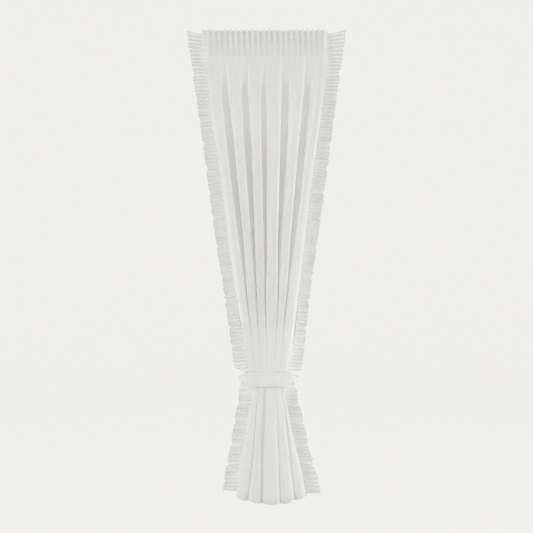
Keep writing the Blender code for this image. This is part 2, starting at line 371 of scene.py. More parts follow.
def voile_weave():
    """Fine plain weave with thicker threads here and there, as in a thin spun voile."""
    name = "voile weave"
    if name in bpy.data.node_groups:
        return bpy.data.node_groups[name]
    inputs = (("Threads per metre", 1600.0), ("Slub", 0.5))
    tree, given, result = new_group(name, inputs, ("Height", "Cover", "Tone"))
    place = tree.nodes.new("ShaderNodeTexCoord").outputs["UV"]
    parts = tree.nodes.new("ShaderNodeSeparateXYZ")
    tree.links.new(place, parts.inputs[0])
    turn = maths(tree, "MULTIPLY", given.outputs["Threads per metre"], 2.0 * math.pi)
    warp = maths(tree, "SINE", maths(tree, "MULTIPLY", parts.outputs["X"], turn))
    weft = maths(tree, "SINE", maths(tree, "MULTIPLY", parts.outputs["Y"], turn))
    threads = maths(tree, "MULTIPLY_ADD", maths(tree, "MULTIPLY", warp, weft), 0.5, 0.5)
    slub_across = stretched_noise(tree, place, (18.0, 620.0), 2.0)
    slub_down = stretched_noise(tree, place, (620.0, 14.0), 2.0)
    slub = maths(tree, "ADD", slub_across, slub_down)
    slub = maths(tree, "SUBTRACT", slub, 1.0)
    slub = maths(tree, "MULTIPLY", slub, given.outputs["Slub"])
    cloud = stretched_noise(tree, place, (24.0, 9.0), 3.0)
    tree.links.new(maths(tree, "MULTIPLY_ADD", threads, 0.35, slub), result.inputs["Height"])
    cover = maths(tree, "ADD", slub, maths(tree, "MULTIPLY_ADD", cloud, 0.5, 0.25))
    tree.links.new(cover, result.inputs["Cover"])
    tone = maths(tree, "MULTIPLY_ADD", slub, 0.5, cloud)
    tree.links.new(tone, result.inputs["Tone"])
    return tree


def new_material(name):
    material = bpy.data.materials.new(name)
    material.use_nodes = True
    return material, material.node_tree, material.node_tree.nodes["Principled BSDF"]


def tone_ramp(tree, mask, low, high, places=(0.0, 1.0)):
    """A colour between two tones, led by a mask."""
    ramp = tree.nodes.new("ShaderNodeValToRGB")
    for element, place, tone in zip(ramp.color_ramp.elements, places, (low, high)):
        element.position = place
        element.color = (*tone, 1.0)
    tree.links.new(mask, ramp.inputs["Fac"])
    return ramp.outputs["Color"]


def value_range(tree, mask, low, high):
    """A value between two limits, led by a mask."""
    node = tree.nodes.new("ShaderNodeMapRange")
    node.inputs["To Min"].default_value = low
    node.inputs["To Max"].default_value = high
    tree.links.new(mask, node.inputs["Value"])
    return node.outputs["Result"]


def thread_relief(tree, height, strength, distance):
    """Threads raised in the cloth's normals."""
    node = tree.nodes.new("ShaderNodeBump")
    node.inputs["Strength"].default_value = strength
    node.inputs["Distance"].default_value = distance
    tree.links.new(height, node.inputs["Height"])
    return node.outputs["Normal"]


def sheer_material(name, finish, darker, cover, slub, bump, through_share=1.0):
    """Thin white cloth whose weave lets a little of what is behind it show."""
    material, tree, surface = new_material(name)
    weave = tree.nodes.new("ShaderNodeGroup")
    weave.node_tree = voile_weave()
    weave.inputs["Slub"].default_value = slub
    light = [float(value) for value in np.multiply(finish.cloth_colour, darker)]
    shade = (light[0] * 0.955, light[1] * 0.955, light[2] * 0.958)
    colour = tone_ramp(tree, weave.outputs["Tone"], shade, light, (0.15, 0.85))
    rough = value_range(tree, weave.outputs["Tone"], finish.roughness - 0.06, finish.roughness + 0.06)
    glow = finish.glow * through_share
    seen = (cover - glow) / (1.0 - glow)
    hides = value_range(tree, weave.outputs["Cover"], seen - 0.07, min(1.0, seen + 0.07))
    normal = thread_relief(tree, weave.outputs["Height"], bump, 0.0004)
    tree.links.new(colour, surface.inputs["Base Color"])
    tree.links.new(rough, surface.inputs["Roughness"])
    tree.links.new(hides, surface.inputs["Alpha"])
    tree.links.new(normal, surface.inputs["Normal"])
    surface.inputs["Sheen Weight"].default_value = finish.sheen
    surface.inputs["Sheen Roughness"].default_value = 0.5
    surface.inputs["Specular IOR Level"].default_value = 0.2
    through = tree.nodes.new("ShaderNodeBsdfTranslucent")
    tree.links.new(colour, through.inputs["Color"])
    tree.links.new(normal, through.inputs["Normal"])
    both = tree.nodes.new("ShaderNodeMixShader")
    both.inputs["Fac"].default_value = glow
    tree.links.new(surface.outputs["BSDF"], both.inputs[1])
    tree.links.new(through.outputs["BSDF"], both.inputs[2])
    tree.links.new(both.outputs["Shader"], tree.nodes["Material Output"].inputs["Surface"])
    return material


def thread_material(finish):
    """Matt sewing thread, slightly yellower than the cloth."""
    material, tree, surface = new_material("sewing_thread")
    noise = tree.nodes.new("ShaderNodeTexNoise")
    noise.inputs["Scale"].default_value = 900.0
    place = tree.nodes.new("ShaderNodeTexCoord")
    tree.links.new(place.outputs["Object"], noise.inputs["Vector"])
    r, g, b = finish.cloth_colour
    shade, light = (r * 0.84, g * 0.84, b * 0.83), (r * 0.97, g * 0.97, b * 0.95)
    tree.links.new(tone_ramp(tree, noise.outputs["Fac"], shade, light), surface.inputs["Base Color"])
    tree.links.new(thread_relief(tree, noise.outputs["Fac"], 0.3, 0.0001), surface.inputs["Normal"])
    surface.inputs["Roughness"].default_value = 0.7
    return material


def found_material(name, maker, *values):
    return bpy.data.materials.get(name) or maker(name, *values)


# The panel's shape


def panel_heights():
    """Rows close together in the heading and at the band, and wider apart between them."""
    runs = ((0.0, -0.28, 48), (-0.28, -1.44, 72), (-1.44, -1.68, 32), (-1.68, HEM, 32))
    parts = [np.linspace(top, bottom, count, endpoint=False) for top, bottom, count in runs]
    return np.concatenate(parts + [np.array([HEM])])


def from_rows(columns, rows, name, z):
    """One named column of a table in millimetres, flowing through heights z, in metres."""
    place = columns.index(name)
    heights = [row[0] / 1000 for row in rows]
    values = np.array([row[place] for row in rows], float) / 1000
    if values.ndim == 1:
        return flowing(heights, values, z)
    return tuple(flowing(heights, side, z) for side in values.T)


def fold_knots(z):
    """Corners of the folded section at heights z, and the column at which each stands."""
    left, right = (from_rows(FOLD_COLUMNS, FOLD_ROWS, side, z) for side in ("left", "right"))
    tables = ("front", "crown", "sunk", "floor", "undercut")
    front, crown, sunk_by, floor_width, undercut = (
        from_rows(SHAPE_COLUMNS, SHAPE_ROWS, name, z) for name in tables
    )
    middle, half = (left + right) / 2, (right - left) / 2
    mouths = [from_rows(FOLD_COLUMNS, FOLD_ROWS, f"valley {n}", z) for n in range(1, 6)]

    def front_at(x, fold):
        sunk = sunk_by if fold == SUNK_FOLD else 0.0
        return front - crown * (1.0 - ((x - middle) / half) ** 2) + sunk

    faces = (right - left) - sum(end - start for start, end in mouths)
    spare = PANEL_FLAT[0] - faces - 2 * EDGE_RETURN - len(mouths) * floor_width
    wall = spare / (2 * len(mouths))
    knots = [(left + EDGE_TUCK, front + EDGE_RETURN, RETURN_COLUMNS), (left, front, FACE_COLUMNS)]
    for fold, ((start, end), lean) in enumerate(zip(mouths, VALLEY_LEANS)):
        place = ((start + end) / 2 - middle) / half
        depth = wall * (1.0 + OUTER_FOLDS_SHALLOWER * (MEAN_SQUARE_PLACE - place * place))
        floor_y = front - crown * (1.0 - place * place) + depth
        tucked = start - undercut if lean < 0 else end + undercut - floor_width
        floor_left = mix((start + end - floor_width) / 2, tucked, ease(-0.20, -0.50, z))
        knots += [
            (start, front_at(start, fold), WALL_COLUMNS),
            (floor_left, floor_y, FLOOR_COLUMNS),
            (floor_left + floor_width, floor_y, WALL_COLUMNS),
            (end, front_at(end, fold + 1), FACE_COLUMNS),
        ]
    knots += [(right, front, RETURN_COLUMNS), (right - EDGE_TUCK, front + EDGE_RETURN, 0)]
    columns = np.cumsum([0] + [knot[2] for knot in knots[:-1]])
    return columns, np.stack([k[0] for k in knots], 1), np.stack([k[1] for k in knots], 1)


def wall_curves(columns):
    """Columns bent inside each valley: both walls first drop straight back from the edges of their
    folds, and the one that shows then runs gently across."""
    along_x, along_y = np.arange(columns[-1] + 1.0), np.arange(columns[-1] + 1.0)
    t = np.linspace(0.0, 1.0, WALL_COLUMNS + 1)
    shown_x, shown_y = t**1.7, 0.62 * (1.0 - (1.0 - t) ** 9) + 0.38 * t**1.5
    hidden_x = 1.0 - (1.0 - t) ** 5
    for fold, lean in enumerate(VALLEY_LEANS):
        first, last = columns[2 + 4 * fold], columns[4 + 4 * fold]
        near, far = slice(first, first + WALL_COLUMNS + 1), slice(last, last + WALL_COLUMNS + 1)
        if lean < 0:
            along_x[near] = first + WALL_COLUMNS * hidden_x
            along_x[far] = last + WALL_COLUMNS * (1.0 - shown_x[::-1])
            along_y[far] = last + WALL_COLUMNS * (1.0 - shown_y[::-1])
        else:
            along_x[near] = first + WALL_COLUMNS * shown_x
            along_y[near] = first + WALL_COLUMNS * shown_y
            along_x[far] = last + WALL_COLUMNS * (1.0 - hidden_x[::-1])
    return along_x, along_y


def opened(x, y, columns, z):
    """Near the heading a valley is an open shallow trough with a flat bottom."""
    amount = (1.0 - ease(-0.34, -0.66, z))[:, None]
    across = 2 * WALL_COLUMNS + FLOOR_COLUMNS
    t = np.linspace(0.0, 1.0, across + 1)[None, :]
    flat = 1.0 - np.abs(2.0 * t - 1.0) ** 7
    formed = ease(-0.17, -0.30, z)[:, None]
    for fold, lean in enumerate(VALLEY_LEANS):
        towards = t if lean < 0 else 1.0 - t
        bowl = mix(0.9 * towards * (1.0 - towards**14), flat, formed)
        first = columns[2 + 4 * fold]
        span = slice(first, first + across + 1)
        start, end = x[:, first, None], x[:, first + across, None]
        near, far = y[:, first, None], y[:, first + across, None]
        x[:, span] = mix(x[:, span], mix(start, end, t), amount)
        y[:, span] = mix(y[:, span], mix(near, far, t) + TROUGH_DEPTH * bowl, amount)
    return x, y


def turned_edges(x, z, fold):
    """How far a fold's face goes back towards its two edges, and laps behind the fold at its left."""
    width = np.abs(x[:, -1:] - x[:, :1])
    share = (x - x[:, :1]) / np.maximum(width, 1e-6)
    skirt, above = ease(-1.60, -1.75, z)[:, None], 1.0 - ease(-1.30, -1.50, z)[:, None]
    right, left, lap = (
        from_rows(SHAPE_COLUMNS, SHAPE_ROWS, name, z)[:, None] for name in ("right turn", "left turn", "lap")
    )
    reach_left, reach_right = TURN_REACH[0], TURN_REACH[1]
    lap = lap * SKIRT_LAPS[fold]
    right = right * mix(1.0, SKIRT_RIGHTS[fold], skirt)
    if fold < 2:
        left, reach_left = mix(left, ROUND_LOBE[0], skirt), mix(reach_left, ROUND_LOBE[1], skirt)
    if fold == 0:
        left, reach_left = mix(left, OUTER_TURN[0], above), mix(reach_left, OUTER_TURN[1], above)
    if fold == len(VALLEY_LEANS):
        right, reach_right = mix(right, OUTER_TURN[0], above), mix(reach_right, OUTER_TURN[1], above)
    if fold < 3:
        right = right * ease(-0.19, -0.30, z)[:, None]
    total = lap * np.clip(1.0 - share, 0.0, 1.0) ** 1.5
    for depth, reach, gap in ((right, reach_right, 1.0 - share), (left, reach_left, share)):
        near = np.minimum(reach, 0.45 * width) + 1e-6
        total = total + depth * (near / reach) * np.clip(1.0 - gap * width / near, 0.0, 1.0) ** 2.2
    return total


def fold_edge_highlights(columns):
    """How much of the side hems' opaque cloth each column takes along the edges of the folds, as a painted
    highlight.
    """
    highlight_share = np.zeros(columns[-1])
    for start in range(1, len(columns) - 1, 4):
        place = np.arange(columns[start], columns[start + 1])
        from_left, from_right = place - place[0], place[-1] - place
        near = np.maximum(1.0 - from_right / FOLD_HIGHLIGHT_COLUMNS[1], 0.8 - from_left / FOLD_HIGHLIGHT_COLUMNS[0])
        highlight_share[place] = np.clip(near, 0.0, 1.0)
    return highlight_share


def gather_wave(x):
    """From -1 in a trough to 1 on a crest of the heading's gathers, with crests narrower."""
    ahead = 2 * CRESTS[0] - CRESTS[1]
    behind = 2 * CRESTS[-1] - CRESTS[-2]
    phase = np.interp(x, (ahead, *CRESTS, behind), np.arange(-1, len(CRESTS) + 1))
    dip = (1.0 - np.cos(2.0 * math.pi * phase)) / 2.0
    return 1.0 - 2.0 * dip**0.8


def panel_points(sizes):
    """The panel as rows of points, with each point's place on the flat cloth."""
    z = panel_heights()
    columns, knot_x, knot_y = fold_knots(z)
    count = columns[-1] + 1
    fine = np.arange(count)
    along_x, along_y = wall_curves(columns)
    x = np.stack([np.interp(along_x, columns, row) for row in knot_x])
    y = np.stack([np.interp(along_y, columns, row) for row in knot_y])
    length = np.concatenate([[0.0], np.cumsum(np.hypot(np.diff(x[MEASURED_ROW]), np.diff(y[MEASURED_ROW])))])
    cloth = length / length[-1] * PANEL_FLAT[0]

    # Faces hollow a little between their edges above the band and belly out below it
    x, y = opened(x, y, columns, z)
    hollow = from_rows(SHAPE_COLUMNS, SHAPE_ROWS, "hollow", z) * sizes.face_hollow / FACE_HOLLOW
    face = np.zeros(count)
    for fold, start in enumerate(range(1, len(columns) - 1, 4)):
        first, last = columns[start], columns[start + 1]
        face[first : last + 1] = np.sin(np.pi * np.linspace(0.0, 1.0, last - first + 1))
        y[:, first : last + 1] += turned_edges(x[:, first : last + 1], z, fold)
    y = y + hollow[:, None] * face[None, :]

    # Faint creases that run down the cloth, closer and deeper where the band draws it in
    near = bump_at(z, -1.56, 0.16)[:, None]
    lean = ripples(cloth[None, :], z[:, None], PANEL_RIPPLES)
    formed = ease(-0.12, -0.30, z)[:, None]
    pucker = np.sin(2 * math.pi * (x * 62.0 + 0.8 * np.sin(z[:, None] * 9.0)))
    y = y + lean * (sizes.crease_height / PANEL_RIPPLES[0][0]) * formed * (1.0 - 0.7 * near)
    y = y + 0.0003 * near * pucker * face[None, :]
    soft = 0.5 * (1.0 - ease(-1.10, -1.32, z))[:, None]
    for _ in range(2):
        y[:, 1:-1] = mix(y[:, 1:-1], (y[:, :-2] + y[:, 2:]) / 2, soft)
        x[:, 1:-1] = mix(x[:, 1:-1], (x[:, :-2] + x[:, 2:]) / 2, soft)

    # The heading: even columns at the very top that slide towards the folds further down
    inner = np.clip((fine - RETURN_COLUMNS) / (count - 1 - 2 * RETURN_COLUMNS), 0.0, 1.0)
    top_x = mix(*HEADING_ENDS, inner)
    ends = np.maximum(0, RETURN_COLUMNS - fine) + np.maximum(0, fine - count + 1 + RETURN_COLUMNS)
    ends = ends / RETURN_COLUMNS
    side = np.where(fine < count / 2, 1.0, -1.0)
    slid = ease(-0.01, -0.115, z)[:, None]
    x = mix(top_x + side * EDGE_TUCK * ends, x, slid)
    hold = np.interp(-z, -np.array(HOLD_HEIGHTS), HOLD_SHARES)
    for row in STITCHED_ROWS:
        hold = hold * (1.0 - 0.22 * bump_at(z, row, 0.004))
    share = np.interp(x, DEPTH_PLACES, DEPTH_SHARES)
    gathers = -sizes.gather_depth * share * gather_wave(x) * hold[:, None]
    gathers = gathers * (1.0 - ends) + 0.012 * ends
    pulled = sum(bump_at(z, row, 0.0035) for row in STITCHED_ROWS)
    gathers = gathers + 0.0012 * pulled[:, None]
    deep = ease(-0.07, -0.40, z)[:, None]
    forward = ease(-0.05, -0.42, z)[:, None]
    front = from_rows(SHAPE_COLUMNS, SHAPE_ROWS, "front", z)[:, None]
    y = forward * front + (y - front) * np.where(y > front, deep, forward)
    y = y + gathers + 0.0085 * np.clip((-2.072 - z[:, None]) / 0.045, 0.0, 1.0) ** 2

    left, right = FOLD_ROWS[-1][1] / 1000, FOLD_ROWS[-1][-1] / 1000
    rise = LEFT_HEM_RISE * ease(0.0, left, x) + RIGHT_HEM_RISE * ease(0.06, right, x)
    rise = rise * ease(-1.85, HEM, z)[:, None]
    level = np.broadcast_to(z[:, None], x.shape) + rise - 0.005 * face * ease(-1.90, HEM, z)[:, None]
    top = ease(-0.03, 0.0, z)[:, None]
    level = level + top * (0.0020 * gather_wave(x) - 0.0020 + 0.0008 * np.sin(x * 61.0))
    return np.stack([x, y, level], axis=2), cloth


def at_level(points, z):
    """One row across a sheet, at a height between two of its rows."""
    levels = points[:, :, 2].mean(axis=1)
    i = int(np.clip(np.searchsorted(-levels, -z, side="right") - 1, 0, len(levels) - 2))
    t = (levels[i] - z) / (levels[i] - levels[i + 1])
    return mix(points[i], points[i + 1], float(np.clip(t, 0.0, 1.0)))


def seam_lines(points, side):
    """The panel's side edge and the middle of its side return, which the ruffle is sewn along."""
    column = 0 if side < 0 else -1
    halfway = RETURN_COLUMNS // 2 if side < 0 else -1 - RETURN_COLUMNS // 2
    return points[:, column], points[:, halfway]


# The ruffles' shape


def ruffle_points(panel, side, sizes):
    """A crimped strip sewn along the panel's side, as rows of points down its length."""
    rng = np.random.default_rng(11 if side < 0 else 23)
    pleats = sizes.pleats
    bottom = RUFFLE_BOTTOMS[0 if side < 0 else 1]
    s = np.arange(pleats * SAMPLES_PER_PLEAT + 1) / SAMPLES_PER_PLEAT
    whole = np.arange(pleats + 1)
    jitter = rng.normal(0.0, 0.05, pleats + 1)
    jitter[0] = jitter[-1] = 0.0
    even = s + np.interp(s, whole, jitter)
    z = mix(RUFFLE_TOP, bottom, even / pleats)
    beat = np.sin(2.0 * math.pi * s)
    wave = np.arcsin(0.96 * beat) / math.asin(0.96)
    breaks = sum(bump_at(z, place, 0.0085) for place in BREAKS)
    depth_share = np.interp(s, whole, 1.0 + rng.normal(0.0, 0.10, pleats + 1))
    tooth_share = np.interp(s, whole, 1.0 + rng.normal(0.0, 0.35, pleats + 1))

    edge, corner = seam_lines(panel, side)
    levels = -edge[:, 2]
    edge_x, edge_y = np.interp(-z, levels, edge[:, 0]), np.interp(-z, levels, edge[:, 1])
    corner_x, corner_y = np.interp(-z, levels, corner[:, 0]), np.interp(-z, levels, corner[:, 1])
    across = 0.5 + wave * RUFFLE_SEAM_SHARE
    seam_x = mix(edge_x, corner_x, across) + side * 0.0008
    seam_y = mix(edge_y, corner_y, across)

    outer = from_rows(RUFFLE_COLUMNS, RUFFLE_ROWS, "left" if side < 0 else "right", z)
    width = np.abs(outer - mix(edge_x, corner_x, 0.5))
    turn = np.radians(flowing(TURN_HEIGHTS, TURN_DEGREES[0 if side < 0 else 1], z))
    drawn_in = np.minimum(1.0, width / FULL_RUFFLE_WIDTH)
    free_depth = sizes.pleat_depth * drawn_in * depth_share
    reach = width / np.cos(turn) + sizes.tooth * wave * tooth_share * drawn_in
    reach = reach - sizes.break_depth * breaks
    skirt = ease(-1.60, -1.75, z)
    slant = 0.0018 * ripples(z * 1.0, z, ((1.0, 9.0, 2.0, 0.1), (0.8, 21.0, 5.0, 0.6)))
    slant = slant * (1.0 + 1.2 * skirt)
    lift = 0.013 * (1.0 - ease(RUFFLE_TOP, -0.13, z))
    drop = -0.006 * ease(-0.20, -0.5, z) * (1.0 - skirt)

    rows = []
    for j in range(SAMPLES_ACROSS + 1):
        t = j / SAMPLES_ACROSS
        bend = 0.0016 * np.sin(math.pi * t) * np.sin(2.0 * math.pi * z / 0.21 + side)
        swing = wave * np.maximum(0.0, free_depth - SEWN_PLEAT_DEPTH) * t**0.8
        curl = breaks * 0.006 * t * t
        x = seam_x + side * reach * t * np.cos(turn)
        y = seam_y + reach * t * np.sin(turn) - swing + bend + curl
        rows.append(np.stack([x, y, z + lift * t**1.5 + (slant + drop) * t], axis=1))
    points = np.stack(rows, axis=1)
    length = np.linspace(0.0, RUFFLE_FLAT[1], len(s))
    return points, length


def free_edge_tube(points, radius):
    """The narrow rolled hem along a ruffle's free edge, as rings of points."""
    path = points[:, -1]
    inward = points[:, -2] - path
    inward = inward / np.linalg.norm(inward, axis=1, keepdims=True)
    along = np.gradient(path, axis=0)
    along = along / np.maximum(np.linalg.norm(along, axis=1, keepdims=True), 1e-9)
    other = np.cross(along, inward)
    rings = []
    for step in range(5):
        turn = 2.0 * math.pi * step / 5
        ring = path + inward * (radius * 1.3 * math.cos(turn)) + other * (radius * math.sin(turn))
        rings.append(ring)
    return np.stack(rings, axis=1)


# Tie band, hems and stitching


def band_points():
    """The band as a closed double layer: down its outer face and back up inside."""
    middle_y = (BAND_FRONT + BAND_BACK) / 2
    half_depth = (BAND_BACK - BAND_FRONT) / 2
    power = 2.0 / BAND_SQUARENESS
    angle = 2.0 * math.pi * np.arange(BAND_STEPS) / BAND_STEPS
    sine, cosine = np.sin(angle), np.cos(angle)
    ends = np.abs(cosine) ** 4
    outline = [(i / BAND_ROWS, 0.0) for i in range(BAND_ROWS + 1)]
    outline += [((BAND_ROWS - i) / BAND_ROWS, BAND_THICKNESS) for i in range(0, BAND_ROWS + 1, 4)]
    rows = []
    for down, inside in outline:
        rim = bump_at(down, 0.0, 0.05) + 0.6 * bump_at(down, 1.0, 0.05)
        welt = 0.0016 * bump_at(down, 0.12, 0.06) - 0.0010 * bump_at(down, 0.26, 0.05)
        belly = 0.0016 * math.sin(math.pi * down) + welt - 0.0030 * rim - inside
        creases = 0.0024 * ends * math.sin(2.0 * math.pi * (2.6 * down + 0.1)) * math.sin(math.pi * down)
        creases = creases + 0.0004 * np.sin(angle * 23.0 + 2.0 * down) * np.sin(angle * 7.0 + 0.7)
        out = belly + creases * math.sin(math.pi * min(1.0, 0.12 + down * 0.8))
        x = BAND_MIDDLE_X + (BAND_HALF_WIDTH + out) * np.sign(cosine) * np.abs(cosine) ** power
        y = middle_y - (half_depth + out) * np.sign(sine) * np.abs(sine) ** power
        taper = np.clip((np.abs(x - BAND_MIDDLE_X) / BAND_HALF_WIDTH - BAND_TAPER_START), 0.0, None)
        taper = (taper / (1.0 - BAND_TAPER_START)) ** 1.5
        front_half, side_half, back_half = BAND_HALF_HEIGHTS
        half = np.where(sine > 0, mix(front_half, side_half, taper), mix(back_half, side_half, taper))
        middle = np.where(sine > 0, BAND_MIDDLE_Z, BAND_BACK_Z) * (1.0 - taper) + BAND_SIDE_Z * taper
        middle = middle + 0.0055 * np.sin(np.pi * np.minimum(taper, 1.0)) * (sine > 0)
        bow = 0.004 * (1.0 - (x - BAND_MIDDLE_X) ** 2 / BAND_HALF_WIDTH**2) * down * (sine > 0)
        wander = 0.0008 * np.sin(angle * 9.0 + 1.0) + 0.0016 * ends * np.sin(angle * 31.0)
        rows.append(np.stack([x, y, middle + half * (1.0 - 2.0 * down) - bow + wander], axis=1))
    rows.append(rows[0])
    return np.stack(rows)


def stitches(paths, spacing, length, radius):
    """Short raised threads along lines: one small spindle for each stitch."""
    points, faces = [], []
    for path in paths:
        gaps = np.linalg.norm(np.diff(path, axis=0), axis=1)
        run = np.concatenate([[0.0], np.cumsum(gaps)])
        for start in np.arange(spacing / 2, run[-1] - length, spacing):
            ends = [
                np.array([np.interp(s, run, path[:, axis]) for axis in range(3)])
                for s in (start, start + length)
            ]
            along = Vector(ends[1] - ends[0])
            if along.length < 1e-6:
                continue
            first = along.orthogonal().normalized()
            second = along.normalized().cross(first)
            middle = Vector((ends[0] + ends[1]) / 2)
            base = len(points)
            points += [tuple(ends[0]), tuple(ends[1])]
            for offset in (first, second, -first, -second):
                points.append(tuple(middle + offset * radius))
            for i in range(4):
                near, far = base + 2 + i, base + 2 + (i + 1) % 4
                faces += [(base, near, far), (base + 1, far, near)]
    return points, faces


# Settings in the sidebar


def length_setting(name, description, default, low, high):
    return FloatProperty(
        name=name, description=description, default=default, min=low, max=high, unit="LENGTH"
    )


def share_setting(name, description, default, low=0.0, high=1.0):
    return FloatProperty(
        name=name, description=description, default=default, min=low, max=high, subtype="FACTOR"
    )


def power_setting(name, description, default):
    return FloatProperty(name=name, description=description, default=default, min=0.0, subtype="POWER")


def colour_setting(name, description, default):
    return FloatVectorProperty(
        name=name, description=description, default=default, size=3, min=0.0, max=1.0, subtype="COLOR"
    )


class CurtainShape(PropertyGroup):
    gather_depth: length_setting(
        "Gather depth", "How far the heading's gathers stand out from its middle", 0.0039, 0.003, 0.02
    )
    face_hollow: length_setting(
        "Fold hollow", "How far the face of a main fold sinks between its two edges", FACE_HOLLOW, 0.0, 0.012
    )
    crease_height: length_setting(
        "Crease height", "Height of the faint creases that run down the panel", 0.0005, 0.0, 0.003
    )


class RuffleShape(PropertyGroup):
    pleats: IntProperty(
        name="Pleats",
        description="Number of crimped pleats in each ruffle",
        default=128,
        min=60,
        max=160,
    )
    pleat_depth: length_setting(
        "Pleat depth", "Depth of the pleats at the ruffle's free edge", 0.0056, 0.002, 0.012
    )
    tooth: length_setting(
        "Edge tooth", "How far single pleats stand past the ruffle's edge", 0.0020, 0.0, 0.005
    )
    break_depth: length_setting(
        "Break depth", "How far the edge draws in between two groups of pleats", 0.0060, 0.0, 0.012
    )


class CurtainFinish(PropertyGroup):
    cloth_colour: colour_setting("Cloth colour", "White of the sheer cloth", (0.892, 0.889, 0.879))
    cover: share_setting("Cover", "How much of what is behind the cloth it hides", 0.86, 0.4)
    glow: share_setting(
        "Light through", "Share of the light behind the cloth that spreads through it", 0.34, 0.0, 0.8
    )
    roughness: share_setting("Roughness", "Surface roughness of the cloth", 0.80, 0.3)
    sheen: share_setting("Sheen", "Soft light caught by the fine fibres", 0.15)
    stitch_length: length_setting("Stitch length", "Length of one visible stitch", 0.0026, 0.001, 0.006)


class StageSettings(PropertyGroup):
    floor_level: length_setting(
        "Floor level", "Height of the studio floor below the heading", -2.37, -4.0, -2.2
    )
    backdrop_colour: colour_setting(
        "Backdrop colour", "Pale cream of the floor and backdrop", (0.871, 0.864, 0.823)
    )
    right_light: power_setting("Right light", "Power of the large soft light at the right", 57.0)
    left_light: power_setting("Left light", "Power of the large soft light at the left", 48.0)
    low_light: power_setting("Low light", "Power of the small soft light in front of the skirt", 7.0)
    back_light: power_setting("Back light", "Power of the small soft light behind the gathered part", 1.0)
    room_light: FloatProperty(
        name="Room light",
        description="Even light from all round",
        default=0.62,
        min=0.0,
        max=2.0,
    )


# One operator for each group of pieces


def finish_piece(piece):
    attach(piece, "root")
    return piece


class MakeStage(Operator):
    """Sets the camera, the soft studio lights and the plain floor and backdrop"""

    bl_idname = "curtain.make_stage"
    bl_label = "Stage, lights and camera"

    def execute(self, context):
        scene = context.scene
        settings = scene.curtain_stage
        camera_data = bpy.data.cameras.new("photo_camera")
        camera_data.sensor_width = 36.0
        camera_data.lens = CAMERA_LENS
        camera_data.clip_end = 60.0
        camera = link(bpy.data.objects.new("photo_camera", camera_data))
        camera.location = CAMERA_PLACE
        camera.rotation_euler = (math.pi / 2, 0.0, 0.0)
        scene.camera = camera
        scene.view_settings.view_transform = "Standard"
        scene.view_settings.look = "None"
        self.make_cove(settings)
        self.make_world(scene, settings)
        lights = (
            ("right_light", (3.1, -0.90, -1.20), 1.5, 2.1, settings.right_light, -1.22),
            ("left_light", (-3.1, -1.1, -1.20), 1.5, 2.1, settings.left_light, -1.22),
            ("low_light", (0.2, -2.9, -1.75), 1.6, 0.7, settings.low_light, -1.70),
            ("back_light", (0.0, 2.3, -1.88), 1.5, 0.6, settings.back_light, -1.95),
        )
        for name, place, width, height, power, aim_height in lights:
            data = bpy.data.lights.new(name, "AREA")
            data.shape = "RECTANGLE"
            data.size, data.size_y = width, height
            data.energy = power
            data.color = LIGHT_COLOUR
            data.spread = math.radians(48.0 if name == "back_light" else 180.0)
            light = link(bpy.data.objects.new(name, data))
            light.location = place
            aim = Vector((0.0, 0.0, aim_height)) - Vector(place)
            light.rotation_euler = aim.to_track_quat("-Z", "Y").to_euler()
            light.visible_camera = False
        return {"FINISHED"}

    def make_cove(self, settings):
        """A round floor that curves up into a wall on every side."""
        radius, inner, bend, top = 7.0, 0.0004, 1.6, 4.5
        sides, bend_steps = 96, 12
        floor = settings.floor_level
        outline = [(r, floor) for r in np.linspace(inner, radius - bend, 14)]
        for i in range(1, bend_steps + 1):
            turn = math.pi / 2 * i / bend_steps
            outline.append((radius - bend + bend * math.sin(turn), floor + bend - bend * math.cos(turn)))
        outline += [(radius, z) for z in np.linspace(floor + bend, top, 6)[1:]]
        angle = 2.0 * math.pi * np.arange(sides) / sides
        rows = [np.stack([r * np.cos(angle), r * np.sin(angle), np.full(sides, z)], 1) for r, z in outline]
        material, tree, surface = new_material("studio_paper")
        noise = tree.nodes.new("ShaderNodeTexNoise")
        noise.inputs["Scale"].default_value = 0.7
        shade, light = ([value * share for value in settings.backdrop_colour] for share in (0.048, 0.052))
        tree.links.new(tone_ramp(tree, noise.outputs["Fac"], shade, light), surface.inputs["Base Color"])
        surface.inputs["Emission Color"].default_value = (*settings.backdrop_colour, 1.0)
        surface.inputs["Emission Strength"].default_value = 0.962
        surface.inputs["Roughness"].default_value = 1.0
        surface.inputs["Specular IOR Level"].default_value = 0.0
        cove = grid_object("studio_cove", np.stack(rows), material, closed=True)
        cove.visible_diffuse = False
        cove.visible_glossy = False
        cove.visible_shadow = False

    def make_world(self, scene, settings):
        world = bpy.data.worlds.new("studio")
        world.use_nodes = True
        background = world.node_tree.nodes["Background"]
        background.inputs["Color"].default_value = (0.985, 0.995, 1.0, 1.0)
        background.inputs["Strength"].default_value = settings.room_light
        scene.world = world


